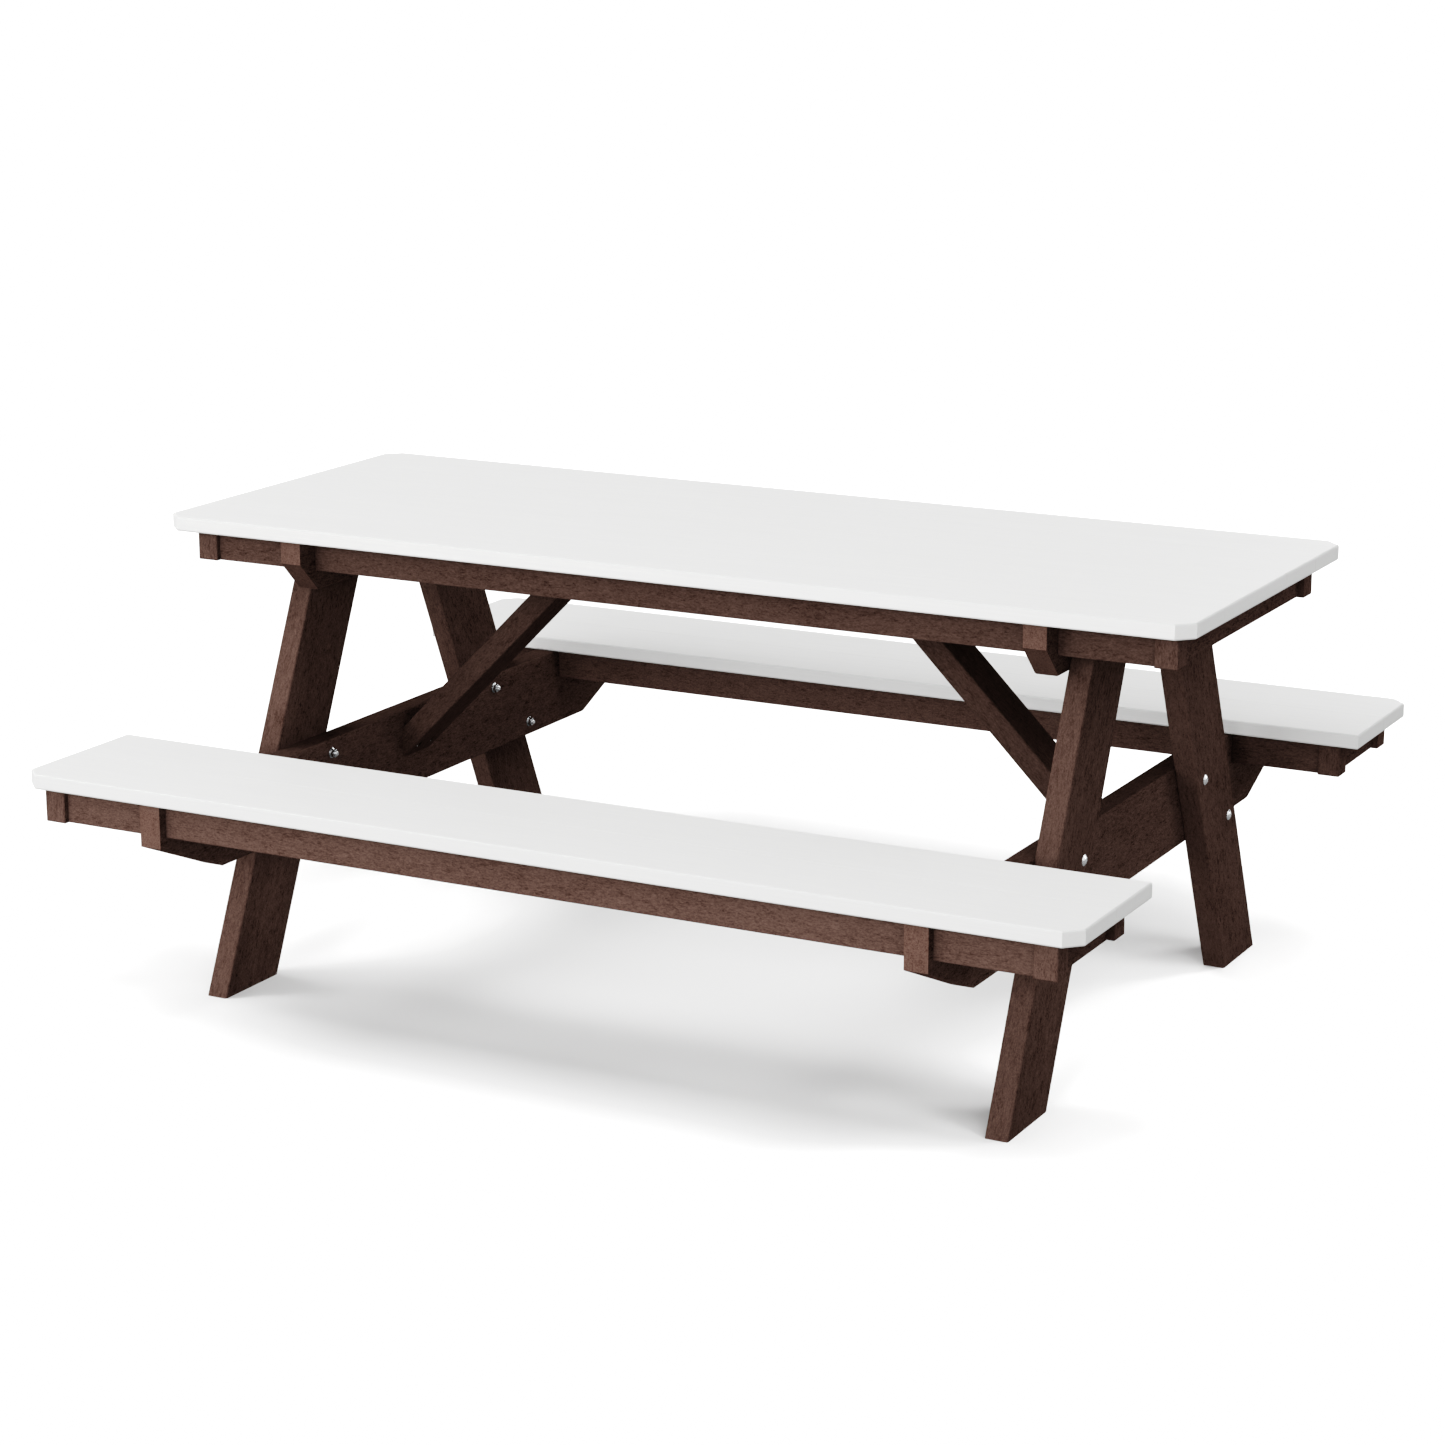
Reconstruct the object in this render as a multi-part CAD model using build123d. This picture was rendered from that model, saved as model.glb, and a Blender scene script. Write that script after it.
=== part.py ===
from build123d import *
import math
import os

# Picnic table with two fixed benches, in plastic lumber on a braced frame.
# Millimetres. +X runs along the boards, +Y from the front bench to the back bench,
# +Z up. The origin is on the floor under the middle of the table.
# Values in X and Y are distances from the middle, mirrored by the signs below.

# ---------------------------------------------------------------- boards
LENGTH = 1829.0          # table top and benches
BOARD_W = 138.8
BOARD_T = 25.0
BOARD_GAP = 0.2          # neighbouring boards butt together, nearly closed
BOARD_PITCH = BOARD_W + BOARD_GAP
BOARD_EASE = 3.5         # eased edge round the outside of the deck
SEAM_EASE = 0.6          # broken edge where two boards meet
CORNER_EASE = 1.5        # upright edges of the corners
CLIP = 25.0              # 45 degree clip of the outer corners
TOP_BOARDS = ("front", "front_inner", "middle", "back_inner", "back")
TOP_HALF_W = (len(TOP_BOARDS) * BOARD_PITCH - BOARD_GAP) / 2
TOP_Z = 764.0            # height of the table top
SEAT_Z = 412.5           # height of the seats
UNDER_TOP = TOP_Z - BOARD_T
UNDER_SEAT = SEAT_Z - BOARD_T
SEAT_Y = 611.3           # centre line of a bench

# ---------------------------------------------------------------- frame
LUMBER_T = 38.0          # thickness of beams, legs, braces, battens and blocks
LUMBER_EASE = 3.0        # eased edge of the frame lumber
CUT_EASE = 1.0           # broken edge at a saw cut

BLOCK = LUMBER_T         # corner block, square in plan
BLOCK_EASE = 2.0
RAIL_T = 25.0            # rim rail thickness
RIM_D = 55.0             # depth of the rim: rails, blocks and battens
SIDE_RECESS = 8.0        # long rails sit back from the blocks' faces
END_RECESS = 11.0        # end rails sit back from the blocks' faces
BLOCK_X = 879.0          # outer end face of the corner blocks
TOP_BLOCK_Y = 302.0      # outer side face of the top's corner blocks
BENCH_RIM_HALF_W = 125.0
BENCH_BLOCK_OUT = SEAT_Y + BENCH_RIM_HALF_W  # bench blocks: outer side face
BENCH_BLOCK_IN = SEAT_Y - BENCH_RIM_HALF_W   # bench blocks: inner side face

LEG_IN_X = 685.5                   # inner face of the legs, against the beams
LEG_OUT_X = LEG_IN_X + LUMBER_T
BEAM_IN_X = LEG_IN_X - LUMBER_T    # inner face of the beams
LEG_W = 135.5                      # leg width, square to its slope
LEG_SLOPE = 0.438                  # sideways run per unit of height
LEG_ANGLE = math.degrees(math.atan(LEG_SLOPE))
LEG_FOOT_Y = 461.25                # middle of a foot

CROSS_D = 88.0           # top cross beam: depth
CROSS_END_Y = 337.0      # top cross beam: end face
CROSS_END_D = 38.0       # top cross beam: height of the upright end face
CROSS_CUT_Y = CROSS_D - CROSS_END_D  # 45 degree end cut
SEAT_D = 140.0           # seat beam: depth
SEAT_END_Y = 743.5       # seat beam: end face
SEAT_END_D = 70.0        # seat beam: height of the upright end face
SEAT_CUT_Y = 164.5       # seat beam: length along Y of the slanted end cut

BATTEN_OUT_X = 267.0     # outer face of the cross battens
BATTEN_END_Y = TOP_BLOCK_Y - SIDE_RECESS - RAIL_T
BRACE_W = 86.0           # brace width along Y
BRACE_SUM = 978.15       # |x| + z on the middle line of a brace, at 45 degrees

OVERSIZE = 2000.0        # length of bars before trimming, and free sizes of trimming boxes
WEDGE_MARGIN = 40.0      # reach of the end-cut wedges past the beam's end and underside
WEDGE_SIDE_MARGIN = 10.0  # the same, past each side face

# ---------------------------------------------------------------- bolts and nuts
BOLT_R = 4.0             # carriage bolt shank
BOLT_TIP = 1.0           # chamfer of the shank's end
BOLT_HEAD_R = 9.0
BOLT_HEAD_H = 4.6
BOLT_HEAD_RIM = 0.7      # upright rim below the dome
NECK = 8.2               # square neck under the head
NECK_L = 4.5
NECK_CLEAR = 0.2         # the neck's socket is this much wider and deeper
BOLT_L = 88.0            # under the head to the end
BOLT_HOLE_R = 4.2
HOLE_MARGIN = 5.0        # the hole tool overruns the bolt at both ends
BOLT_EDGE = 33.7         # bolt centre to the leg's edge, measured level
BOLT_Z_PAIRS = (
    (363.0, 273.0),      # upper and lower bolts at the seat beam
    (717.0, 673.0),      # upper and lower bolts at the cross beam
)

NUT_R = 13.0 / 2         # half the width across flats
NUT_H = 8.0
NUT_BORE_R = 4.05
NUT_BORE_MARGIN = 2.0
NUT_CONE_OUT = 2.2       # corner cone: start of the chamfer outside the flats
NUT_CONE_IN = 0.3        # corner cone: end of the chamfer inside the flats
NUT_CONE_H = 1.5
FLANGE_R = 8.95
FLANGE_RIM_H = 1.1
FLANGE_H = 2.6
FLANGE_TOP_R = NUT_R + 0.4
NUT_TURN_START = 12      # turn of the first nut, degrees
NUT_TURN_STEP = 7        # extra turn of each next nut

# ---------------------------------------------------------------- deck screws
SCREW_L = 50.0
SCREW_R = 2.1            # thread at its mean radius
SCREW_HEAD_R = 4.5
SCREW_HEAD_H = 3.4
SCREW_HEAD_RIM = 0.5     # straight part of the head
SCREW_POINT_L = 5.0
SCREW_POINT_R = 0.3
SCREW_BITE = 15.0        # length held in a board
SCREW_CLEAR = 0.15
PILOT_HEAD_RIM = 0.6     # the pilot's counterparts of the screw's sizes
PILOT_POINT_START = SCREW_L - 4.8
PILOT_POINT_R = 0.5
PILOT_L = SCREW_L + 0.4
BORE_R = 5.5             # counterbore that sinks the head
BORE_DEPTH = 70.0
SEAT_BEAM_BORE_DEPTH = 115.0
BRACE_BORE_DEPTH = 16.0

RAIL_SCREW_X = (763.0, 480.0, 160.0)
BENCH_END_SCREW_Y = 45.0   # bench end rails: from the bench's centre line
TOP_OUTER_SCREW_Y = 235.0  # end rails and battens: outermost screws
CROSS_OUTER_SCREW_Y = 262.0
CROSS_SCREW_SHIFT = 12.0   # cross beams: inner screws stand this far outside the pitch
BRACE_SCREW_Y = 22.0
BRACE_SCREW_BACK = 15.5    # underside origin of the head to the beam or batten face
BRACE_SCREW_LOW_Z = 325.0
BRACE_SCREW_HIGH_Z = 716.7

TOUCH_DEPTH = 0.05       # boxes must overlap by this much for a tool to cut a part

# Centre lines shared by parts and their fixings
BLOCK_MID_X = BLOCK_X - BLOCK / 2
END_RAIL_MID_X = BLOCK_X - END_RECESS - RAIL_T / 2
BEAM_MID_X = (BEAM_IN_X + LEG_IN_X) / 2
LEG_MID_X = (LEG_OUT_X + LEG_IN_X) / 2
BATTEN_MID_X = BATTEN_OUT_X - LUMBER_T / 2
RAIL_MID_INSET = SIDE_RECESS + RAIL_T / 2

SIDES = {"front": -1, "back": 1}   # signs of Y
ENDS = {"left": -1, "right": 1}    # signs of X

parts = {}


# ---------------------------------------------------------------- lumber
def mirrored(sign, near, far):
    """Low and high limit of a span given by its distances on one side of the middle."""
    return sorted((sign * near, sign * far))


def span_box(x_span, y_span, z_span):
    spans = (x_span, y_span, z_span)
    middle = [(low + high) / 2 for low, high in spans]
    return Pos(*middle) * Box(*[high - low for low, high in spans])


def deck_board(y_span, z_top, clipped_side=0, seam_sides=()):
    """Full-length board. clipped_side is the Y side (-1, 1) whose corners are cut at
    45 degrees, 0 for none; seam_sides are the sides that meet a neighbour."""
    z_low = z_top - BOARD_T
    side_y = {-1: y_span[0], 1: y_span[1]}
    outline = []
    for end, side in ((-1, -1), (1, -1), (1, 1), (-1, 1)):
        x, y = end * LENGTH / 2, side_y[side]
        if side == clipped_side:
            on_end = (x, y - side * CLIP)
            on_side = (x - end * CLIP, y)
            outline += [on_end, on_side] if end * side > 0 else [on_side, on_end]
        else:
            outline.append((x, y))
    face = make_face(Polyline(*outline, close=True))
    board = Pos(0, 0, z_low) * extrude(face, amount=BOARD_T)
    seams = [side_y[side] for side in seam_sides]

    def at_seam(edge):
        return any(abs(edge.center().Y - y) < 0.01 for y in seams)

    def at_height(edge, z):
        return abs(edge.center().Z - z) < 0.01

    corners = [e for e in board.edges().filter_by(Axis.Z) if not at_seam(e)]
    if corners:
        board = fillet(corners, CORNER_EASE)
    rim = [
        e for e in board.edges()
        if not at_seam(e) and (at_height(e, z_low) or at_height(e, z_top))
    ]
    board = fillet(rim, BOARD_EASE)
    for y in seams:
        side_faces = board.faces().filter_by(Axis.Y)
        seam_face = [f for f in side_faces if abs(f.center().Y - y) < 0.01][0]
        board = fillet(seam_face.edges(), SEAM_EASE)
    return board


def stick(x_span, y_span, z_top, along, ease=LUMBER_EASE):
    """Rim-deep lumber with its long edges eased and its sawn ends just broken."""
    bar = span_box(x_span, y_span, (z_top - RIM_D, z_top))
    bar = fillet(bar.edges().filter_by(along), ease)
    return chamfer(bar.faces().filter_by(along).edges(), CUT_EASE)


def end_cut_beam(end, z_top, depth, end_y, end_d, cut_y):
    """Beam along Y whose lower corners are sawn off, leaving short upright ends."""
    x_span = mirrored(end, BEAM_IN_X, LEG_IN_X)
    z_low = z_top - depth
    beam = span_box(x_span, (-end_y, end_y), (z_low, z_top))
    beam = fillet(beam.edges().filter_by(Axis.Y), LUMBER_EASE)
    for side in (-1, 1):
        wedge = make_face(
            Polyline(
                (0, side * end_y, z_top - end_d),
                (0, side * (end_y - cut_y), z_low),
                (0, side * (end_y - cut_y), z_low - WEDGE_MARGIN),
                (0, side * (end_y + WEDGE_MARGIN), z_low - WEDGE_MARGIN),
                (0, side * (end_y + WEDGE_MARGIN), z_top - end_d),
                close=True,
            )
        )
        wedge = extrude(wedge, amount=LUMBER_T + 2 * WEDGE_SIDE_MARGIN, dir=(1, 0, 0))
        beam = beam - Pos(x_span[0] - WEDGE_SIDE_MARGIN, 0, 0) * wedge
    return beam


def leg(end, side):
    """Leg leaning in towards the table top, cut level at the floor and under the top."""
    bar = Box(LUMBER_T, LEG_W, OVERSIZE)
    bar = fillet(bar.edges().filter_by(Axis.Z), LUMBER_EASE)
    bar = Pos(end * LEG_MID_X, side * LEG_FOOT_Y, 0) * Rot(side * LEG_ANGLE, 0, 0) * bar
    return bar & (Pos(end * LEG_MID_X, 0, UNDER_TOP / 2) * Box(OVERSIZE, OVERSIZE, UNDER_TOP))


def brace(end):
    """45 degree brace from the seat beam's inner face up to the batten's outer face."""
    bar = Box(OVERSIZE, BRACE_W, LUMBER_T)
    bar = fillet(bar.edges().filter_by(Axis.X), LUMBER_EASE)
    mid_x = (BEAM_IN_X + BATTEN_OUT_X) / 2
    middle = Pos(end * mid_x, 0, BRACE_SUM - mid_x)
    return (middle * Rot(0, end * 45, 0) * bar) & (
        middle * Box(BEAM_IN_X - BATTEN_OUT_X, OVERSIZE, OVERSIZE)
    )


# ---------------------------------------------------------------- deck boards
def add_top_boards():
    last = len(TOP_BOARDS) - 1
    for i, name in enumerate(TOP_BOARDS):
        y = -TOP_HALF_W + i * BOARD_PITCH
        clipped_side = {0: -1, last: 1}.get(i, 0)
        seam_sides = {0: (1,), last: (-1,)}.get(i, (-1, 1))
        parts["top_board_" + name] = deck_board(
            (y, y + BOARD_W), TOP_Z, clipped_side, seam_sides
        )


def add_bench_boards(bench, side):
    half_gap = BOARD_GAP / 2
    outer = mirrored(side, SEAT_Y + half_gap, SEAT_Y + half_gap + BOARD_W)
    inner = mirrored(side, SEAT_Y - half_gap, SEAT_Y - half_gap - BOARD_W)
    parts[bench + "_bench_board_outer"] = deck_board(outer, SEAT_Z, side, (-side,))
    parts[bench + "_bench_board_inner"] = deck_board(inner, SEAT_Z, 0, (side,))


# ---------------------------------------------------------------- rims
def add_block(name, end, y_span, z_top):
    """Square corner block standing between a side rail and an end rail."""
    x_span = mirrored(end, BLOCK_X - BLOCK, BLOCK_X)
    parts[name] = stick(x_span, y_span, z_top, Axis.Z, BLOCK_EASE)


def add_side_rails(name, y_span, z_top):
    """Three lengths of rail: block to beam, beam to beam, beam to block."""
    for place, x_span in (
        ("left", (-(BLOCK_X - BLOCK), -LEG_IN_X)),
        ("middle", (-BEAM_IN_X, BEAM_IN_X)),
        ("right", (LEG_IN_X, BLOCK_X - BLOCK)),
    ):
        parts[name + "_" + place] = stick(x_span, y_span, z_top, Axis.X)


def add_end_rail(name, end, y_span, z_top):
    outer_x = BLOCK_X - END_RECESS
    x_span = mirrored(end, outer_x - RAIL_T, outer_x)
    parts[name] = stick(x_span, y_span, z_top, Axis.Y)


def add_top_rim():
    block_in_y = TOP_BLOCK_Y - BLOCK
    rail_y = TOP_BLOCK_Y - SIDE_RECESS
    for side_name, side in SIDES.items():
        for end_name, end in ENDS.items():
            name = "top_corner_block_" + side_name + "_" + end_name
            add_block(name, end, mirrored(side, block_in_y, TOP_BLOCK_Y), UNDER_TOP)
        y_span = mirrored(side, rail_y - RAIL_T, rail_y)
        add_side_rails("top_" + side_name + "_rail", y_span, UNDER_TOP)
    for end_name, end in ENDS.items():
        add_end_rail("top_end_rail_" + end_name, end, (-block_in_y, block_in_y), UNDER_TOP)


def add_bench_rim(bench, side):
    prefix = bench + "_bench_"
    outer_y = BENCH_BLOCK_OUT - BLOCK
    inner_y = BENCH_BLOCK_IN + BLOCK
    outer_block = mirrored(side, outer_y, BENCH_BLOCK_OUT)
    inner_block = mirrored(side, BENCH_BLOCK_IN, inner_y)
    between = mirrored(side, inner_y, outer_y)
    for end_name, end in ENDS.items():
        add_block(prefix + "outer_block_" + end_name, end, outer_block, UNDER_SEAT)
        add_block(prefix + "inner_block_" + end_name, end, inner_block, UNDER_SEAT)
        add_end_rail(prefix + "end_rail_" + end_name, end, between, UNDER_SEAT)
    rail_out = BENCH_BLOCK_OUT - SIDE_RECESS
    rail_in = BENCH_BLOCK_IN + SIDE_RECESS
    add_side_rails(prefix + "outer_rail", mirrored(side, rail_out - RAIL_T, rail_out), UNDER_SEAT)
    add_side_rails(prefix + "inner_rail", mirrored(side, rail_in, rail_in + RAIL_T), UNDER_SEAT)


# ---------------------------------------------------------------- frame
def add_frame(end_name, end):
    """Beams, batten, legs and brace of one end."""
    parts["top_cross_beam_" + end_name] = end_cut_beam(
        end, UNDER_TOP, CROSS_D, CROSS_END_Y, CROSS_END_D, CROSS_CUT_Y
    )
    parts["seat_beam_" + end_name] = end_cut_beam(
        end, UNDER_SEAT, SEAT_D, SEAT_END_Y, SEAT_END_D, SEAT_CUT_Y
    )
    batten_x = mirrored(end, BATTEN_OUT_X - LUMBER_T, BATTEN_OUT_X)
    parts["top_cross_batten_" + end_name] = stick(
        batten_x, (-BATTEN_END_Y, BATTEN_END_Y), UNDER_TOP, Axis.Y
    )
    for side_name, side in SIDES.items():
        parts["leg_" + side_name + "_" + end_name] = leg(end, side)
    parts["brace_" + end_name] = brace(end)


# ---------------------------------------------------------------- hardware shapes
def turned(points):
    """Solid of revolution about Z from (radius, height) points."""
    profile = make_face(Polyline(*[(radius, 0, z) for radius, z in points], close=True))
    return revolve(profile, Axis.Z)


def bolt_shape():
    """Bolt along +Z: the head's flat underside is at z 0, the dome below it."""
    dome_h = BOLT_HEAD_H - BOLT_HEAD_RIM
    dome_r = (BOLT_HEAD_R ** 2 + dome_h ** 2) / (2 * dome_h)
    half_angle = math.asin(BOLT_HEAD_R / dome_r) / 2
    centre = (0, 0, 0)
    head_edge = (BOLT_HEAD_R, 0, 0)
    rim_edge = (BOLT_HEAD_R, 0, -BOLT_HEAD_RIM)
    crown = (0, 0, -BOLT_HEAD_H)
    on_dome = (
        dome_r * math.sin(half_angle),
        0,
        -BOLT_HEAD_H + dome_r - dome_r * math.cos(half_angle),
    )
    profile = Wire([
        Edge.make_three_point_arc(rim_edge, on_dome, crown),
        Edge.make_line(crown, centre),
        Edge.make_line(centre, head_edge),
        Edge.make_line(head_edge, rim_edge),
    ])
    head = revolve(make_face(profile), Axis.Z)
    neck = Pos(0, 0, NECK_L / 2) * Box(NECK, NECK, NECK_L)
    shank = turned([
        (0, 0), (BOLT_R, 0), (BOLT_R, BOLT_L - BOLT_TIP), (BOLT_R - BOLT_TIP, BOLT_L), (0, BOLT_L),
    ])
    return head + neck + shank


def rod(radius, z_low, z_high):
    return turned([(0, z_low), (radius, z_low), (radius, z_high), (0, z_high)])


def bolt_hole_tool():
    """Clearance hole with a square socket for the neck, placed like the bolt."""
    width, depth = NECK + NECK_CLEAR, NECK_L + NECK_CLEAR
    hole = rod(BOLT_HOLE_R, -HOLE_MARGIN, BOLT_L + HOLE_MARGIN)
    return hole + Pos(0, 0, depth / 2) * Box(width, width, depth)


def nut_shape():
    """Flange nut along +Z: flange face at z 0, hexagon above, edges chamfered by a cone."""
    hexagon = extrude(RegularPolygon(NUT_R, 6, major_radius=False), amount=NUT_H)
    cone_r = NUT_R + NUT_CONE_OUT
    cone = turned([
        (0, -1), (cone_r, -1), (cone_r, NUT_H - NUT_CONE_H), (NUT_R - NUT_CONE_IN, NUT_H),
        (0, NUT_H),
    ])
    flange = turned([
        (0, 0), (FLANGE_R, 0), (FLANGE_R, FLANGE_RIM_H), (FLANGE_TOP_R, FLANGE_H), (0, FLANGE_H),
    ])
    bore = rod(NUT_BORE_R, -NUT_BORE_MARGIN, NUT_H + NUT_BORE_MARGIN)
    return (hexagon & cone) + flange - bore


def screw_shape():
    """Screw along +Z with the top of its head at z 0."""
    return turned([
        (0, 0), (SCREW_HEAD_R, 0), (SCREW_HEAD_R, SCREW_HEAD_RIM), (SCREW_R, SCREW_HEAD_H),
        (SCREW_R, SCREW_L - SCREW_POINT_L), (SCREW_POINT_R, SCREW_L), (0, SCREW_L),
    ])


def screw_tool(bore_depth):
    """Counterbore, countersink and pilot for one screw, a hair larger than the screw."""
    head_r = SCREW_HEAD_R + SCREW_CLEAR
    pilot_r = SCREW_R + SCREW_CLEAR
    return turned([
        (0, -bore_depth), (BORE_R, -bore_depth), (BORE_R, 0), (head_r, 0),
        (head_r, PILOT_HEAD_RIM), (pilot_r, SCREW_HEAD_H + SCREW_CLEAR),
        (pilot_r, PILOT_POINT_START), (PILOT_POINT_R, PILOT_L), (0, PILOT_L),
    ])


# ---------------------------------------------------------------- placing the hardware
def bolt_points():
    """(|y|, z) of one leg's bolts: upper ones near its inner edge, lower near its outer."""
    half = LEG_W / 2 / math.cos(math.radians(LEG_ANGLE))
    points = []
    for upper, lower in BOLT_Z_PAIRS:
        points.append((LEG_FOOT_Y - half - LEG_SLOPE * upper + BOLT_EDGE, upper))
        points.append((LEG_FOOT_Y + half - LEG_SLOPE * lower - BOLT_EDGE, lower))
    return points


def place_bolts():
    """Bolts from the legs' outer faces inwards, nuts on the beams' inner faces."""
    bolt, nut, hole = bolt_shape(), nut_shape(), bolt_hole_tool()
    bolts, nuts, tools = [], [], []
    for end in (-1, 1):
        inwards = Rot(0, -90 * end, 0)
        for side in (-1, 1):
            for y, z in bolt_points():
                place = Pos(end * LEG_OUT_X, side * y, z) * inwards
                bolts.append(place * bolt)
                tools.append(place * hole)
                turn = Rot(0, 0, NUT_TURN_START + NUT_TURN_STEP * len(nuts))
                nuts.append(Pos(end * BEAM_IN_X, side * y, z) * inwards * turn * nut)
    return bolts, nuts, tools


def five_across(outer, inner):
    return (-outer, -inner, 0.0, inner, outer)


def place_screws():
    screw = screw_shape()
    rim_tool, seat_beam_tool = screw_tool(BORE_DEPTH), screw_tool(SEAT_BEAM_BORE_DEPTH)
    brace_tool = screw_tool(BRACE_BORE_DEPTH)
    screws, tools = [], []

    def drive(place, tool):
        screws.append(place * screw)
        tools.append(place * tool)

    def drive_up(x, y, z_under, tool=rim_tool):
        """Straight up, holding SCREW_BITE in the board whose underside is at z_under."""
        drive(Pos(x, y, z_under + SCREW_BITE - SCREW_L), tool)

    for end in (-1, 1):
        for side in (-1, 1):
            drive_up(end * BLOCK_MID_X, side * (TOP_BLOCK_Y - BLOCK / 2), UNDER_TOP)
            for x in RAIL_SCREW_X:
                drive_up(end * x, side * (TOP_BLOCK_Y - RAIL_MID_INSET), UNDER_TOP)
            for y in (BENCH_BLOCK_OUT - BLOCK / 2, BENCH_BLOCK_IN + BLOCK / 2):
                drive_up(end * BLOCK_MID_X, side * y, UNDER_SEAT)
            for y in (BENCH_BLOCK_OUT - RAIL_MID_INSET, BENCH_BLOCK_IN + RAIL_MID_INSET):
                for x in RAIL_SCREW_X:
                    drive_up(end * x, side * y, UNDER_SEAT)
            for way in (-1, 1):
                end_rail_y = SEAT_Y + way * BENCH_END_SCREW_Y
                beam_y = SEAT_Y + way * BOARD_PITCH / 2
                drive_up(end * END_RAIL_MID_X, side * end_rail_y, UNDER_SEAT)
                drive_up(end * BEAM_MID_X, side * beam_y, UNDER_SEAT, seat_beam_tool)
        for y in five_across(TOP_OUTER_SCREW_Y, BOARD_PITCH):
            drive_up(end * END_RAIL_MID_X, y, UNDER_TOP)
            drive_up(end * BATTEN_MID_X, y, UNDER_TOP)
        for y in five_across(CROSS_OUTER_SCREW_Y, BOARD_PITCH + CROSS_SCREW_SHIFT):
            drive_up(end * BEAM_MID_X, y, UNDER_TOP)
        # level screws from the braces' slanted faces into the beam and into the batten
        low_x = end * (BEAM_IN_X - BRACE_SCREW_BACK)
        high_x = end * (BATTEN_OUT_X + BRACE_SCREW_BACK)
        for y in (-BRACE_SCREW_Y, BRACE_SCREW_Y):
            drive(Pos(low_x, y, BRACE_SCREW_LOW_Z) * Rot(0, 90 * end, 0), brace_tool)
            drive(Pos(high_x, y, BRACE_SCREW_HIGH_Z) * Rot(0, -90 * end, 0), brace_tool)
    return screws, tools


# ---------------------------------------------------------------- drilling and writing
def overlap(one, other):
    """Whether two bounding boxes overlap by more than TOUCH_DEPTH on every axis."""
    return all(
        getattr(one.min, axis) < getattr(other.max, axis) - TOUCH_DEPTH
        and getattr(other.min, axis) < getattr(one.max, axis) - TOUCH_DEPTH
        for axis in "XYZ"
    )


def drilled(part, boxed_tools):
    box = part.bounding_box()
    near = [tool for tool, tool_box in boxed_tools if overlap(box, tool_box)]
    if near:
        part = part - near
    return part.solids()[0]


def export_group(shapes, name):
    group = Compound(children=[shape.solids()[0] for shape in shapes])
    export_step(group, "parts/" + name + ".step")


add_top_boards()
add_top_rim()
for bench_name, bench_side in SIDES.items():
    add_bench_boards(bench_name, bench_side)
    add_bench_rim(bench_name, bench_side)
for frame_name, frame_end in ENDS.items():
    add_frame(frame_name, frame_end)

bolts, nuts, bolt_tools = place_bolts()
screws, screw_tools = place_screws()
boxed_tools = [(tool, tool.bounding_box()) for tool in bolt_tools + screw_tools]

os.makedirs("parts", exist_ok=True)
for name, part in parts.items():
    export_step(drilled(part, boxed_tools), "parts/" + name + ".step")
export_group(bolts, "carriage_bolts")
export_group(nuts, "flange_nuts")
export_group(screws, "deck_screws")
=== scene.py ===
import bpy
import math
import bmesh
from mathutils import Matrix, Vector


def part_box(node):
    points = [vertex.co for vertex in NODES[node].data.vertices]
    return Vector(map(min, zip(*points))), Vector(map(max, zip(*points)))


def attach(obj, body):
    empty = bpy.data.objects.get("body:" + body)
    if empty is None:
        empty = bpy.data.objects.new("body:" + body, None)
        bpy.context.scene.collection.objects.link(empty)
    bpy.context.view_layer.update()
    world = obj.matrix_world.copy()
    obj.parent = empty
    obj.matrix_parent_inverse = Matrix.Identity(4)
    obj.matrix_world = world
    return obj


# Looks for the picnic table: white and brown plastic lumber, zinc-plated fasteners,
# a white studio floor, soft light and the camera.

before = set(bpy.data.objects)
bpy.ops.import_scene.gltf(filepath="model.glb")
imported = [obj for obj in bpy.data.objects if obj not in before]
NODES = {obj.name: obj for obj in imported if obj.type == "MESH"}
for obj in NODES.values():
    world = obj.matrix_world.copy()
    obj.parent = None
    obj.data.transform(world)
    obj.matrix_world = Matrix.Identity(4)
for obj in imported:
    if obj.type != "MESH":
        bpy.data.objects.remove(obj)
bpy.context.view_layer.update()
scene = bpy.context.scene

# soft boxes as (azimuth, elevation, kilowatts); the floor has its own set, so that its
# shadow stays faint while the table keeps its modelling
TABLE_LIGHTS = [(-115, 15, 0.03), (-15, 15, 0.0988), (-40, 15, 0.0469), (-40, 40, 0.0428), (-70, 40, 0.1359), (10, 15, 0.0897), (130, 15, 0.0319), (130, 40, 0.0257), (180, 15, 0.07), (40, 15, 0.0193), (80, 40, 0.021), (80, 65, 0.0702)]
FLOOR_LIGHTS = [(-115, 40, 0.1168), (-115, 65, 0.1309), (-40, 40, 0.0436), (-70, 40, 0.1881), (10, 40, 0.0545), (10, 65, 0.1591), (130, 15, 0.0943), (130, 40, 0.1672), (180, 15, 0.1251), (40, 40, 0.1161), (80, 40, 0.1457), (80, 65, 0.1008)]
FLOOR_BOUNCE = 0.13
FLOOR_FAR = 0.15
SKY = 0.079
GLOSS_SKY = 0.60


# how strongly the skin, the fibres, the patches, the bands and the dark patches tint the brown
GRAIN = (1.5, 0.95, 0.4, 0.3, 0.13)
WIDE_GRAIN_AND_RAKING_SHADE = 1.5
# reach in metres and strength of the painted shade in corners; how much painted light brightens the beams' saw-cut ends
NOOK_SHADE = (0.30, 0.55)
CUT_LIGHT = 0.62


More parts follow.
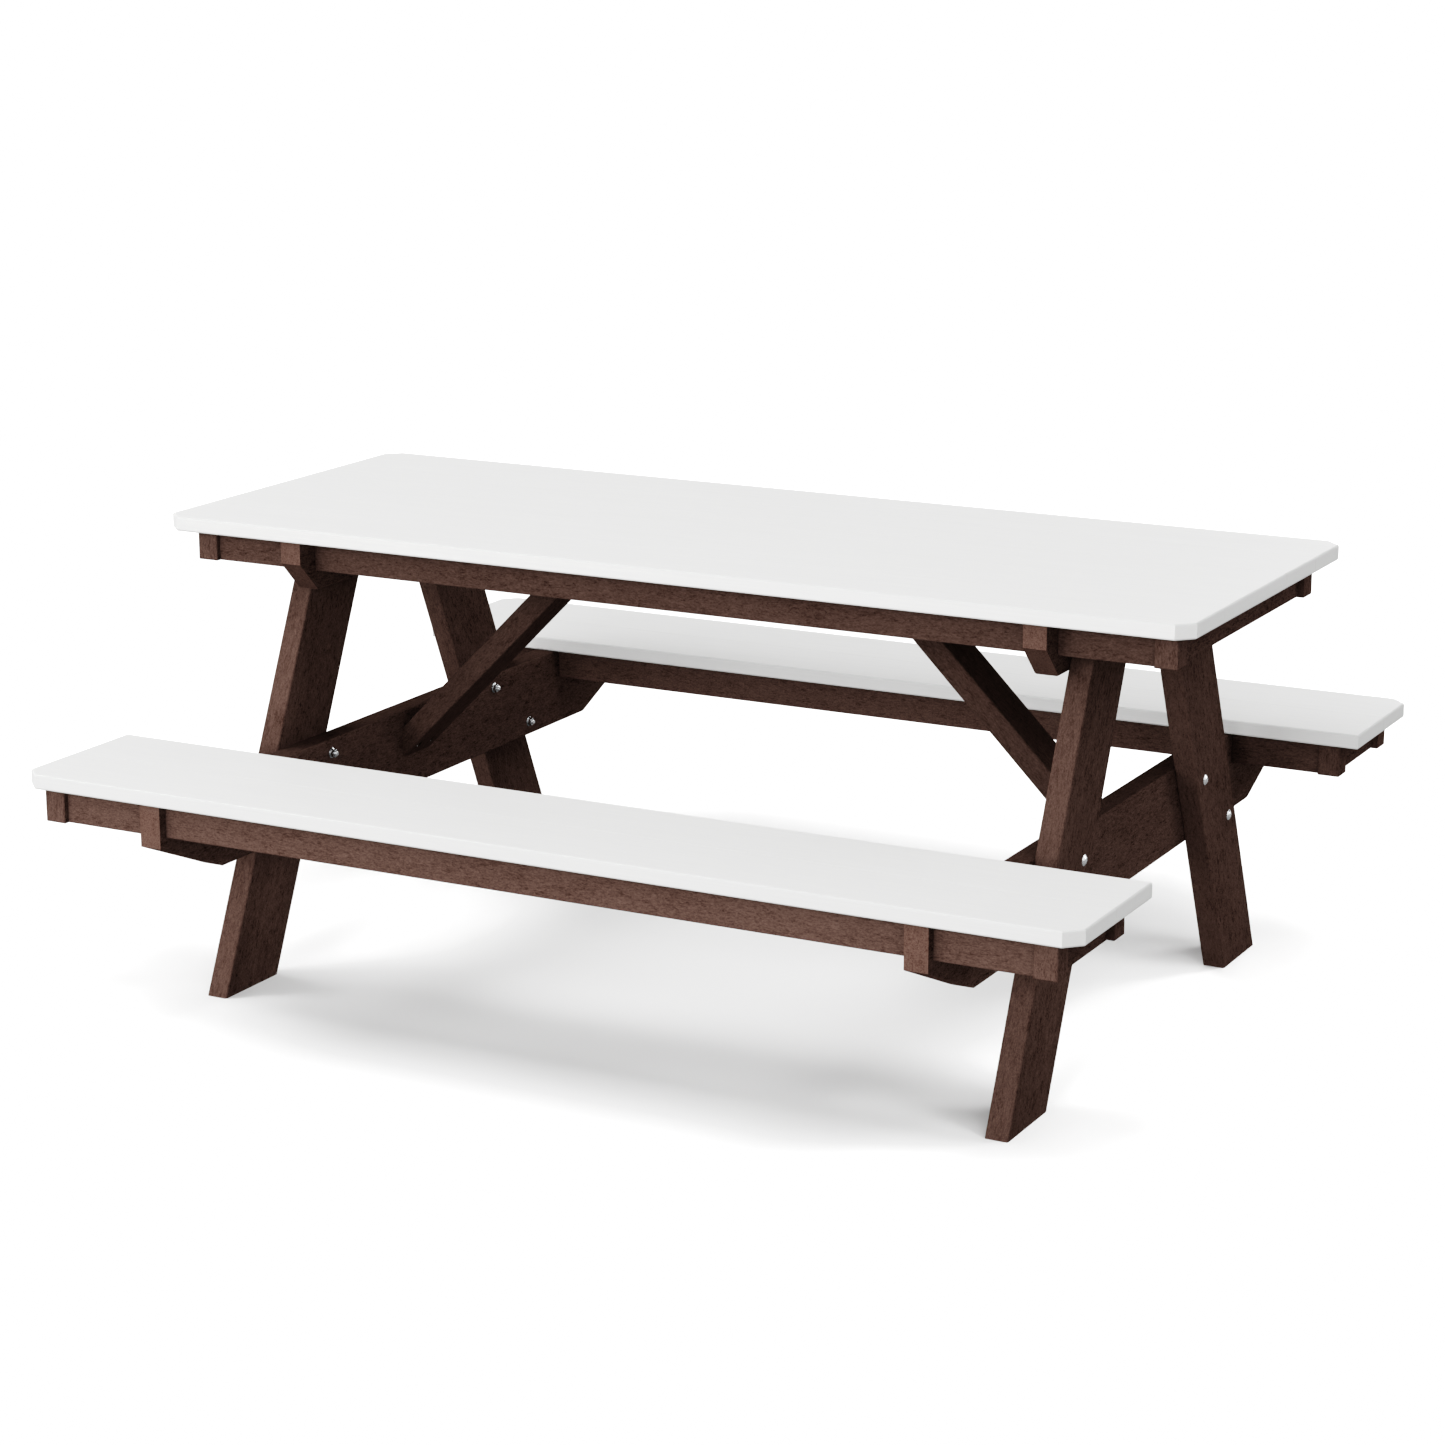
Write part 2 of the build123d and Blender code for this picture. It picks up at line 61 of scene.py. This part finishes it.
# ------------------------------------------------------------------ node helpers
class Tree:
    """Short-hand for building a shader node tree."""

    def __init__(self, name):
        self.mat = bpy.data.materials.new(name)
        self.mat.use_nodes = True
        self.t = self.mat.node_tree
        self.t.nodes.clear()
        self.out = self.new("ShaderNodeOutputMaterial")

    def new(self, kind, **props):
        n = self.t.nodes.new(kind)
        for k, v in props.items():
            setattr(n, k, v)
        return n

    def plug(self, socket, value):
        if value is None:
            return
        if isinstance(value, bpy.types.NodeSocket):
            self.t.links.new(value, socket)
        else:
            socket.default_value = value

    def math(self, op, a, b=None, c=None, clamp=False):
        n = self.new("ShaderNodeMath", operation=op, use_clamp=clamp)
        self.plug(n.inputs[0], a)
        self.plug(n.inputs[1], b)
        self.plug(n.inputs[2], c)
        return n.outputs[0]

    def vmath(self, op, a, b=None, scale=None):
        n = self.new("ShaderNodeVectorMath", operation=op)
        self.plug(n.inputs[0], a)
        self.plug(n.inputs[1], b)
        if scale is not None:
            self.plug(n.inputs["Scale"], scale)
        return n.outputs["Value"] if op in ("DOT_PRODUCT", "LENGTH", "DISTANCE") else n.outputs[0]

    def xyz(self, x, y, z):
        n = self.new("ShaderNodeCombineXYZ")
        for s, v in zip(n.inputs, (x, y, z)):
            self.plug(s, v)
        return n.outputs[0]

    def split(self, vec):
        n = self.new("ShaderNodeSeparateXYZ")
        self.plug(n.inputs[0], vec)
        return n.outputs[0], n.outputs[1], n.outputs[2]

    def noise(self, vec, scale, detail=2.0, rough=0.5, distortion=0.0, lac=2.0):
        n = self.new("ShaderNodeTexNoise", noise_dimensions="3D")
        self.plug(n.inputs["Vector"], vec)
        self.plug(n.inputs["Scale"], scale)
        self.plug(n.inputs["Detail"], detail)
        self.plug(n.inputs["Roughness"], rough)
        self.plug(n.inputs["Distortion"], distortion)
        self.plug(n.inputs["Lacunarity"], lac)
        return n.outputs["Fac"]

    def ramp(self, fac, lo, hi, a=0.0, b=1.0, smooth=True):
        n = self.new("ShaderNodeMapRange", interpolation_type="SMOOTHSTEP" if smooth else "LINEAR")
        self.plug(n.inputs["Value"], fac)
        for k, v in (("From Min", lo), ("From Max", hi), ("To Min", a), ("To Max", b)):
            self.plug(n.inputs[k], v)
        return n.outputs["Result"]

    def mix(self, fac, a, b, blend="MIX"):
        n = self.new("ShaderNodeMix", data_type="RGBA", blend_type=blend, clamp_factor=True)
        self.plug(n.inputs[0], fac)
        self.plug(n.inputs[6], a)
        self.plug(n.inputs[7], b)
        return n.outputs[2]

    def attr(self, name):
        return self.new("ShaderNodeAttribute", attribute_type="OBJECT", attribute_name=name).outputs["Fac"]


def rgb(r, g, b):
    """sRGB 0-255 to a linear colour."""
    def lin(v):
        v /= 255.0
        return v / 12.92 if v <= 0.04045 else ((v + 0.055) / 1.055) ** 2.4
    return (lin(r), lin(g), lin(b), 1.0)


def along(t, length_dir):
    """Coordinates with x along the lumber, for its grain, and the lumber's own offset."""
    L = Vector(length_dir).normalized()
    side = Vector((0, 0, 1)) if abs(L.z) < 0.9 else Vector((1, 0, 0))
    V = L.cross(side).normalized()
    W = L.cross(V).normalized()
    p = t.new("ShaderNodeTexCoord").outputs["Object"]
    seed = t.attr("seed")
    u = t.vmath("DOT_PRODUCT", p, tuple(L))
    v = t.vmath("DOT_PRODUCT", p, tuple(V))
    w = t.vmath("DOT_PRODUCT", p, tuple(W))
    u = t.math("ADD", u, t.math("MULTIPLY", seed, 7.31))
    v = t.math("ADD", v, t.math("MULTIPLY", seed, 3.17))
    return u, v, w, L


def stretched(t, u, v, w, su, sv, sw=None):
    return t.xyz(t.math("MULTIPLY", u, su), t.math("MULTIPLY", v, sv), t.math("MULTIPLY", w, sw or sv))


def edge_mask(t, radius):
    """1 where the surface turns a corner, 0 on the flats."""
    bevel = t.new("ShaderNodeBevel", samples=4)
    bevel.inputs["Radius"].default_value = radius
    geo = t.new("ShaderNodeNewGeometry")
    d = t.vmath("DOT_PRODUCT", bevel.outputs[0], geo.outputs["True Normal"])
    return t.ramp(d, 0.995, 0.88, 0.0, 1.0)


def end_mask(t, L):
    """1 on the saw-cut ends."""
    geo = t.new("ShaderNodeNewGeometry")
    d = t.math("ABSOLUTE", t.vmath("DOT_PRODUCT", geo.outputs["True Normal"], tuple(L)))
    return t.ramp(d, 0.60, 0.72, 0.0, 1.0)


def brown_lumber(name, length_dir, shade=0.53):
    """Dark brown plastic lumber: short lengthwise streaks pressed into a mottled skin."""
    t = Tree(name)
    u, v, w, L = along(t, length_dir)
    # long soft bands
    broad = t.noise(stretched(t, u, v, w, 5.0, 22.0), 1.0, 3.0, 0.55)
    # ragged patches of a centimetre or two, longer along the grain
    cloud = t.noise(stretched(t, u, v, w, 38.0, 105.0), 1.0, 4.0, 0.65, 0.8)
    # short fibres, 5 to 15 mm long and 2 to 3 mm wide
    fibre = t.noise(stretched(t, u, v, w, 105.0, 360.0), 1.0, 4.0, 0.65, 0.7)
    # the pitted skin itself
    fine = t.noise(stretched(t, u, v, w, 300.0, 560.0), 1.0, 5.0, 0.72, 0.3)
    patch = t.ramp(t.math("ADD", t.math("MULTIPLY", fibre, 0.45), t.math("MULTIPLY", cloud, 0.55)), 0.38, 0.48, 1.0, 0.0)
    level = t.math("MULTIPLY", t.math("SUBTRACT", fine, 0.5), GRAIN[0])
    for field, gain in ((fibre, GRAIN[1]), (cloud, GRAIN[2]), (broad, GRAIN[3])):
        level = t.math("MULTIPLY_ADD", t.math("SUBTRACT", field, 0.5), gain, level)
    level = t.math("MULTIPLY_ADD", patch, -GRAIN[4], level)
    # painted shade and light: on the faces that look along X, the wide faces of legs and beams, the marks are drawn
    # with more contrast, standing in for grain relief under raking light, and the brown is set a little paler
    side = t.vmath("DOT_PRODUCT", t.new("ShaderNodeNewGeometry").outputs["True Normal"], (1.0, 0.0, 0.0))
    wide = t.ramp(t.math("ABSOLUTE", side), 0.80, 0.95, 1.0, WIDE_GRAIN_AND_RAKING_SHADE)
    level = t.math("MULTIPLY_ADD", level, wide, t.ramp(t.math("ABSOLUTE", side), 0.80, 0.95, 0.53, 0.565), clamp=True)
    base = t.mix(level, rgb(61, 41, 34), rgb(130, 105, 96))
    ends = end_mask(t, L)
    base = t.mix(t.math("MULTIPLY", ends, 0.25), base, rgb(74, 50, 41))
    # partly wear, partly painted highlight: the rounded edges are made paler in patches
    edge = edge_mask(t, 0.0035)
    worn_and_highlight = t.math("MULTIPLY", edge, t.ramp(t.noise(stretched(t, u, v, w, 30.0, 60.0), 1.0, 3.0, 0.6), 0.35, 0.7, 0.2, 1.0))
    base = t.mix(t.math("MULTIPLY", worn_and_highlight, 0.14), base, rgb(132, 102, 88))
    # painted shade: a fine dark line along the corner blocks' edges stands in for the shade in the seam where the
    # corner posts meet the rails
    base = t.mix(t.math("MULTIPLY", t.math("MULTIPLY", edge, t.attr("joint")), 0.75), base, rgb(44, 29, 24))
    # painted shade: faces that look upward are darkened, standing in for the shade the table top casts on the tops of
    # the beams below it
    up = t.vmath("DOT_PRODUCT", t.new("ShaderNodeNewGeometry").outputs["True Normal"], (0.0, 0.0, 1.0))
    shade = t.math("MULTIPLY", t.ramp(up, 0.70, 0.95, 1.0, 0.62), shade)
    tone = t.math("MULTIPLY", t.attr("tone"), shade)
    # painted shade: an ambient-occlusion mask darkens the brown in corners and close under the boards, from about 0.22
    # m up
    nook_shade = t.new("ShaderNodeAmbientOcclusion", samples=3)
    nook_shade.inputs["Distance"].default_value = NOOK_SHADE[0]
    closed = t.math("SUBTRACT", 1.0, nook_shade.outputs["AO"])
    _, _, height_up = t.split(t.new("ShaderNodeNewGeometry").outputs["Position"])
    closed = t.math("MULTIPLY", closed, t.ramp(height_up, 0.22, 0.42, 0.0, NOOK_SHADE[1]))
    tone = t.math("MULTIPLY", tone, t.math("SUBTRACT", 1.0, closed))
    # painted light: the beams' saw-cut ends, which stand clear of the top's overhang, are made paler than the skin for
    # the extra light they catch
    square = t.math("ABSOLUTE", t.vmath("DOT_PRODUCT", t.new("ShaderNodeNewGeometry").outputs["True Normal"], tuple(L)))
    painted_cut_light = t.math("MULTIPLY", t.ramp(square, 0.90, 0.98, 0.0, 1.0), t.attr("cut"))
    tone = t.math("MULTIPLY", tone, t.math("MULTIPLY_ADD", painted_cut_light, CUT_LIGHT, 1.0))
    hsv = t.new("ShaderNodeHueSaturation")
    t.plug(hsv.inputs["Value"], tone)
    t.plug(hsv.inputs["Color"], base)
    bsdf = t.new("ShaderNodeBsdfPrincipled")
    t.plug(bsdf.inputs["Base Color"], hsv.outputs[0])
    rough = t.math("ADD", t.ramp(fibre, 0.3, 0.7, 0.62, 0.50, False), t.math("MULTIPLY", ends, 0.12))
    t.plug(bsdf.inputs["Roughness"], rough)
    t.plug(bsdf.inputs["IOR"], 1.46)
    t.plug(bsdf.inputs["Specular IOR Level"], 0.0)
    height = t.math("ADD", t.math("MULTIPLY", fibre, 0.5), t.math("ADD", t.math("MULTIPLY", fine, 0.6), t.math("MULTIPLY", cloud, 0.3)))
    # saw marks across the cut ends
    saw = t.math("SINE", t.math("MULTIPLY", t.math("ADD", v, t.math("MULTIPLY", w, 0.25)), 4200.0))
    height = t.math("ADD", height, t.math("MULTIPLY", t.math("MULTIPLY", saw, ends), 0.10))
    bump = t.new("ShaderNodeBump")
    t.plug(bump.inputs["Strength"], 0.5)
    t.plug(bump.inputs["Distance"], 0.0014)
    t.plug(bump.inputs["Height"], height)
    t.plug(bsdf.inputs["Normal"], bump.outputs[0])
    t.plug(t.out.inputs["Surface"], bsdf.outputs[0])
    return t.mat


def white_lumber(name):
    """White plastic lumber: a nearly even skin with faint lengthwise grain."""
    t = Tree(name)
    u, v, w, L = along(t, (1, 0, 0))
    streak = t.noise(stretched(t, u, v, w, 6.0, 260.0), 1.0, 4.0, 0.6, 0.3)
    cloud = t.noise(stretched(t, u, v, w, 4.0, 18.0), 1.0, 3.0, 0.55)
    fine = t.noise(stretched(t, u, v, w, 60.0, 1400.0), 1.0, 2.0, 0.6)
    pore = t.noise(stretched(t, u, v, w, 900.0, 900.0), 1.0, 2.0, 0.6)
    base = t.mix(t.ramp(streak, 0.35, 0.65, 0.0, 1.0, False), rgb(237, 237, 236), rgb(241, 241, 240))
    base = t.mix(t.math("MULTIPLY", t.ramp(cloud, 0.35, 0.65, 0.0, 1.0, False), 0.25), base, rgb(235, 235, 234))
    base = t.mix(t.math("MULTIPLY", t.ramp(fine, 0.55, 0.75, 0.0, 1.0), 0.3), base, rgb(228, 228, 226))
    ends = end_mask(t, L)
    base = t.mix(t.math("MULTIPLY", ends, 0.35), base, rgb(232, 232, 230))
    # painted shade: the eased upper and lower edges are set a shade darker than the flats, holding down the highlight
    # the lamps put on them
    nz = t.math("ABSOLUTE", t.vmath("DOT_PRODUCT", t.new("ShaderNodeNewGeometry").outputs["Normal"], (0.0, 0.0, 1.0)))
    eased = t.math("MULTIPLY", t.ramp(nz, 0.10, 0.30, 0.0, 1.0), t.ramp(nz, 0.93, 0.99, 1.0, 0.0))
    base = t.mix(t.math("MULTIPLY", eased, 0.80), base, rgb(222, 222, 221))
    tone = t.attr("tone")
    hsv = t.new("ShaderNodeHueSaturation")
    t.plug(hsv.inputs["Value"], tone)
    t.plug(hsv.inputs["Color"], base)
    bsdf = t.new("ShaderNodeBsdfPrincipled")
    t.plug(bsdf.inputs["Base Color"], hsv.outputs[0])
    t.plug(bsdf.inputs["Roughness"], t.ramp(streak, 0.3, 0.7, 0.58, 0.48, False))
    t.plug(bsdf.inputs["IOR"], 1.50)
    t.plug(bsdf.inputs["Specular IOR Level"], 0.10)
    height = t.math("ADD", t.math("MULTIPLY", streak, 0.6), t.math("ADD", t.math("MULTIPLY", fine, 0.3), t.math("MULTIPLY", pore, 0.1)))
    bump = t.new("ShaderNodeBump")
    t.plug(bump.inputs["Strength"], 0.22)
    t.plug(bump.inputs["Distance"], 0.0006)
    t.plug(bump.inputs["Height"], height)
    t.plug(bsdf.inputs["Normal"], bump.outputs[0])
    t.plug(t.out.inputs["Surface"], bsdf.outputs[0])
    return t.mat


def zinc_steel(name, low, high):
    """Zinc-plated steel: bright, faintly clouded, with fine turning marks."""
    t = Tree(name)
    p = t.new("ShaderNodeTexCoord").outputs["Object"]
    cloud = t.noise(t.vmath("SCALE", p, scale=420.0), 1.0, 3.0, 0.6)
    fine = t.noise(t.vmath("MULTIPLY", p, (700.0, 2600.0, 2600.0)), 1.0, 3.0, 0.6)
    base = t.mix(t.ramp(cloud, 0.3, 0.7, 0.0, 1.0, False), low, high)
    # painted highlight: the edges are lightened towards white
    edge = edge_mask(t, 0.0008)
    base = t.mix(t.math("MULTIPLY", edge, 0.6), base, rgb(250, 250, 250))
    bsdf = t.new("ShaderNodeBsdfPrincipled")
    t.plug(bsdf.inputs["Base Color"], base)
    t.plug(bsdf.inputs["Metallic"], 1.0)
    t.plug(bsdf.inputs["Roughness"], t.ramp(cloud, 0.3, 0.7, 0.16, 0.30, False))
    bump = t.new("ShaderNodeBump")
    t.plug(bump.inputs["Strength"], 0.15)
    t.plug(bump.inputs["Distance"], 0.0002)
    t.plug(bump.inputs["Height"], t.math("ADD", fine, t.math("MULTIPLY", cloud, 0.5)))
    t.plug(bsdf.inputs["Normal"], bump.outputs[0])
    t.plug(t.out.inputs["Surface"], bsdf.outputs[0])
    return t.mat


# ------------------------------------------------------------------ materials on the CAD nodes
def node_axis(name):
    """Direction of a piece's length, read from the piece itself."""
    lo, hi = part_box(name)
    size = hi - lo
    if name.startswith("leg_"):
        # the foot is the outer end: the leg leans in as it rises
        verts = [q.co for q in NODES[name].data.vertices]
        low = [q for q in verts if q.z < lo.z + 1e-4]
        top = [q for q in verts if q.z > hi.z - 1e-4]
        a = sum((q.y for q in low)) / len(low)
        b = sum((q.y for q in top)) / len(top)
        return Vector((0, b - a, hi.z - lo.z)).normalized()
    if name.startswith("brace_"):
        return Vector((-1 if lo.x + hi.x > 0 else 1, 0, 1)).normalized()
    if "_block_" in name:
        return Vector((0, 0, 1))
    return Vector((1, 0, 0)) if size.x >= size.y else Vector((0, 1, 0))


def seed_of(name):
    """A steady number for each name, between 0 and 1."""
    h = 2166136261
    for ch in name:
        h = ((h ^ ord(ch)) * 16777619) & 0xFFFFFFFF
    return (h % 9973) / 9973.0


# each kind of stick has its own depth of brown; the factors are partly that and partly painted light and shade: lower
# for pieces that sit in shade under the top's overhang, such as the braces and most of the top rails, higher for pieces
# that catch more light, such as the bench rails
STICK_TONE_AND_LIGHT = (
    ("top_corner_block", 1.22),
    ("top_front_rail_left", 1.22),
    ("top_front_rail_middle", 0.945),
    ("top_front_rail_right", 0.98),
    ("top_back_rail", 0.96),
    ("bench_outer_", 1.32),
    ("brace_", 0.80),
    ("leg_", 1.13),
    ("seat_beam", 1.14),
)


def stick_tone_and_light_of(name):
    for part, value in STICK_TONE_AND_LIGHT:
        if part in name:
            return value
    return 1.0


cache = {}
WHITE = white_lumber("white_lumber")
STEEL = zinc_steel("steel_hardware", rgb(210, 212, 214), rgb(234, 235, 236))
NUT_STEEL = zinc_steel("steel_hardware_dull", rgb(140, 142, 145), rgb(180, 182, 184))
for name in sorted(NODES):
    obj = NODES[name]
    s = seed_of(name)
    obj["seed"] = s * 10.0
    if name in ("carriage_bolts", "flange_nuts", "deck_screws"):
        mat = NUT_STEEL if name == "flange_nuts" else STEEL
    elif "_board_" in name:
        # painted shade: the bench boards are set darker than the top boards, the back bench's most, for the shade the
        # table top casts on the benches; each board also has a small tone of its own
        obj["tone"] = (0.996 + 0.008 * s) * (1.0 if name.startswith("top_") else 0.99 if name.startswith("front_") else 0.955)
        mat = WHITE
    else:
        obj["tone"] = (0.96 + 0.08 * s) * stick_tone_and_light_of(name)
        obj["joint"] = 1.0 if "_block_" in name else 0.0
        obj["cut"] = 1.0 if "cross_beam" in name or "seat_beam" in name else 0.0
        d = node_axis(name)
        key = tuple(round(c, 3) for c in d)
        if key not in cache:
            cache[key] = brown_lumber("brown_lumber_%d" % len(cache), d)
        mat = cache[key]
    obj.data.materials.clear()
    obj.data.materials.append(mat)

# ------------------------------------------------------------------ threads on the bolt ends
def bolt_places():
    """(side, y, z) of the sixteen bolt axes, in metres; the end of each points inward along X."""
    half = 0.1355 / 2 / math.cos(math.atan(0.438))
    for sx in (-1, 1):
        for sy in (-1, 1):
            for upper, lower in ((0.363, 0.273), (0.717, 0.673)):
                yield sx, sy * (0.46125 - half - 0.438 * upper + 0.0337), upper
                yield sx, sy * (0.46125 + half - 0.438 * lower - 0.0337), lower


def thread_ridges(start=0.63665, stop=0.63935, pitch=0.00125, root=0.00390, crest=0.00436, steps=28):
    """One closed helical ridge around each bolt end, running out to nothing at both ends."""
    bm = bmesh.new()
    count = int(round((stop - start) / pitch * steps))
    for sx, cy, cz in bolt_places():
        rings = []
        for i in range(count + 1):
            angle = 2 * math.pi * i / steps
            x = start + pitch * i / steps
            fade = min(1.0, i / 7.0, (count - i) / 7.0)
            ring = []
            for dx, r in ((-0.42 * pitch, root), (0.0, root + (crest - root) * max(fade, 0.05)), (0.42 * pitch, root)):
                ring.append(bm.verts.new((sx * (x + dx), cy + r * math.cos(angle), cz + r * math.sin(angle))))
            rings.append(ring)
        for a, b in zip(rings, rings[1:]):
            for j in range(3):
                k = (j + 1) % 3
                bm.faces.new((a[j], a[k], b[k], b[j]))
        bm.faces.new(rings[0])
        bm.faces.new(tuple(reversed(rings[-1])))
    bmesh.ops.recalc_face_normals(bm, faces=bm.faces)
    mesh = bpy.data.meshes.new("bolt_threads")
    bm.to_mesh(mesh)
    bm.free()
    obj = bpy.data.objects.new("bolt_threads", mesh)
    scene.collection.objects.link(obj)
    obj["seed"] = 0.5
    mesh.materials.append(STEEL)
    return obj


threads = thread_ridges()
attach(threads, "root")

# ------------------------------------------------------------------ floor
FLOOR = 60.0
bm = bmesh.new()
bmesh.ops.create_grid(bm, x_segments=8, y_segments=8, size=FLOOR)
mesh = bpy.data.meshes.new("studio_floor")
bm.to_mesh(mesh)
bm.free()
floor = bpy.data.objects.new("studio_floor", mesh)
scene.collection.objects.link(floor)
t = Tree("studio_floor")
lp = t.new("ShaderNodeLightPath").outputs["Is Camera Ray"]
dif = t.new("ShaderNodeBsdfDiffuse")
t.plug(dif.inputs["Color"], t.mix(lp, (FLOOR_BOUNCE,) * 3 + (1,), (0.80, 0.80, 0.80, 1)))
glow = t.new("ShaderNodeEmission")
t.plug(glow.inputs["Color"], (1.0, 1.0, 1.0, 1.0))
t.plug(glow.inputs["Strength"], t.math("ADD", t.math("MULTIPLY", lp, 1.0 - FLOOR_FAR), FLOOR_FAR))
# past the table the floor fades into an even white sweep
spot = t.vmath("LENGTH", t.vmath("MULTIPLY", t.new("ShaderNodeTexCoord").outputs["Object"], (1.0, 1.0, 0.0)))
sweep = t.new("ShaderNodeMixShader")
t.plug(sweep.inputs[0], t.ramp(spot, 1.9, 4.2, 0.0, 1.0))
t.plug(sweep.inputs[1], dif.outputs[0])
t.plug(sweep.inputs[2], glow.outputs[0])
# seen from below the floor is clear, so the underside of the table can be looked at
clear = t.new("ShaderNodeMixShader")
t.plug(clear.inputs[0], t.new("ShaderNodeNewGeometry").outputs["Backfacing"])
t.plug(clear.inputs[1], sweep.outputs[0])
t.plug(clear.inputs[2], t.new("ShaderNodeBsdfTransparent").outputs[0])
t.plug(t.out.inputs["Surface"], clear.outputs[0])
floor.data.materials.append(t.mat)

# ------------------------------------------------------------------ light
world = bpy.data.worlds.new("studio")
scene.world = world
world.use_nodes = True
wt = world.node_tree
wt.nodes.clear()
bg = wt.nodes.new("ShaderNodeBackground")
wo = wt.nodes.new("ShaderNodeOutputWorld")
wlp = wt.nodes.new("ShaderNodeLightPath")
strength = wlp.outputs["Is Camera Ray"]
for ray, value in (("Is Glossy Ray", GLOSS_SKY), ("Is Diffuse Ray", SKY)):
    add = wt.nodes.new("ShaderNodeMath")
    add.operation = "MULTIPLY_ADD"
    wt.links.new(wlp.outputs[ray], add.inputs[0])
    add.inputs[1].default_value = value
    wt.links.new(strength, add.inputs[2])
    strength = add.outputs[0]
bg.inputs["Color"].default_value = (1, 1, 1, 1)
wt.links.new(strength, bg.inputs["Strength"])
wt.links.new(bg.outputs[0], wo.inputs["Surface"])

only_floor = bpy.data.collections.new("light_on_floor")
only_floor.objects.link(floor)
only_table = bpy.data.collections.new("light_on_table")
for obj in list(NODES.values()) + [threads]:
    only_table.objects.link(obj)


def softbox(name, azimuth, elevation, power, receivers, size=3.0, distance=8.0, aim=(0, 0, 0.4)):
    """Round soft box. Azimuth 0 stands in front (-Y), positive to the right (+X)."""
    a, e = math.radians(azimuth), math.radians(elevation)
    d = Vector((math.sin(a) * math.cos(e), -math.cos(a) * math.cos(e), math.sin(e)))
    data = bpy.data.lights.new(name, "AREA")
    data.shape = "DISK"
    data.size = size
    data.energy = power
    obj = bpy.data.objects.new(name, data)
    obj.location = Vector(aim) + d * distance
    obj.rotation_mode = "QUATERNION"
    obj.rotation_quaternion = d.to_track_quat("Z", "Y")
    scene.collection.objects.link(obj)
    obj.light_linking.receiver_collection = receivers
    return obj


for i, (az, el, power) in enumerate(TABLE_LIGHTS):
    softbox("table_softbox_%d" % i, az, el, power * 1000.0, only_table)
for i, (az, el, power) in enumerate(FLOOR_LIGHTS):
    softbox("floor_softbox_%d" % i, az, el, power * 1000.0, only_floor)

# ------------------------------------------------------------------ camera
cam_data = bpy.data.cameras.new("camera")
cam_data.sensor_width = 36.0
cam_data.lens = 87.0
cam_data.clip_start, cam_data.clip_end = 0.05, 400.0
cam = bpy.data.objects.new("camera", cam_data)
scene.collection.objects.link(cam)
yaw, pitch, roll = -0.48833, 0.25016, -0.00141
fwd = Vector((math.sin(yaw) * math.cos(pitch), math.cos(yaw) * math.cos(pitch), -math.sin(pitch)))
right = Vector((math.cos(yaw), -math.sin(yaw), 0.0))
up = right.cross(fwd)
r2 = right * math.cos(roll) + up * math.sin(roll)
u2 = up * math.cos(roll) - right * math.sin(roll)
m = Matrix((r2, u2, -fwd)).transposed().to_4x4()
m.translation = Vector((2.62318, -5.00637, 1.87779))
cam.matrix_world = m
scene.camera = cam

# ------------------------------------------------------------------ tone
# a soft shoulder, so that whites keep their shading below pure white, and a toe that
# deepens the shaded brown
TONE = 3.2
TOE, TOE_AT = 0.7, 0.03
KNEE, WHITE_AT = 0.56, 0.12
view = scene.view_settings
view.view_transform = "Standard"
view.look = "None"
view.exposure = 0.0
view.gamma = 1.0
view.use_curve_mapping = True
cm = view.curve_mapping
cm.use_clip = True
cm.extend = "HORIZONTAL"
curve = cm.curves[3]


def tone_of(x):
    return (1 - math.exp(-TONE * x)) / (1 - math.exp(-TONE)) * (1 - TOE * math.exp(-x / TOE_AT))


# just above the brightest board the curve runs straight up to pure white, so that the
# faint outer rim of the floor's shadow clears to a plain studio white
for i in range(1, 40):
    x = (i / 40.0) ** 2.5
    if x < KNEE - 0.02:
        curve.points.new(x, tone_of(x))
for i in range(9):
    x = KNEE + WHITE_AT * i / 8.0
    point = curve.points.new(x, tone_of(KNEE) + (1.0 - tone_of(KNEE)) * i / 8.0)
    point.handle_type = "VECTOR"
cm.update()
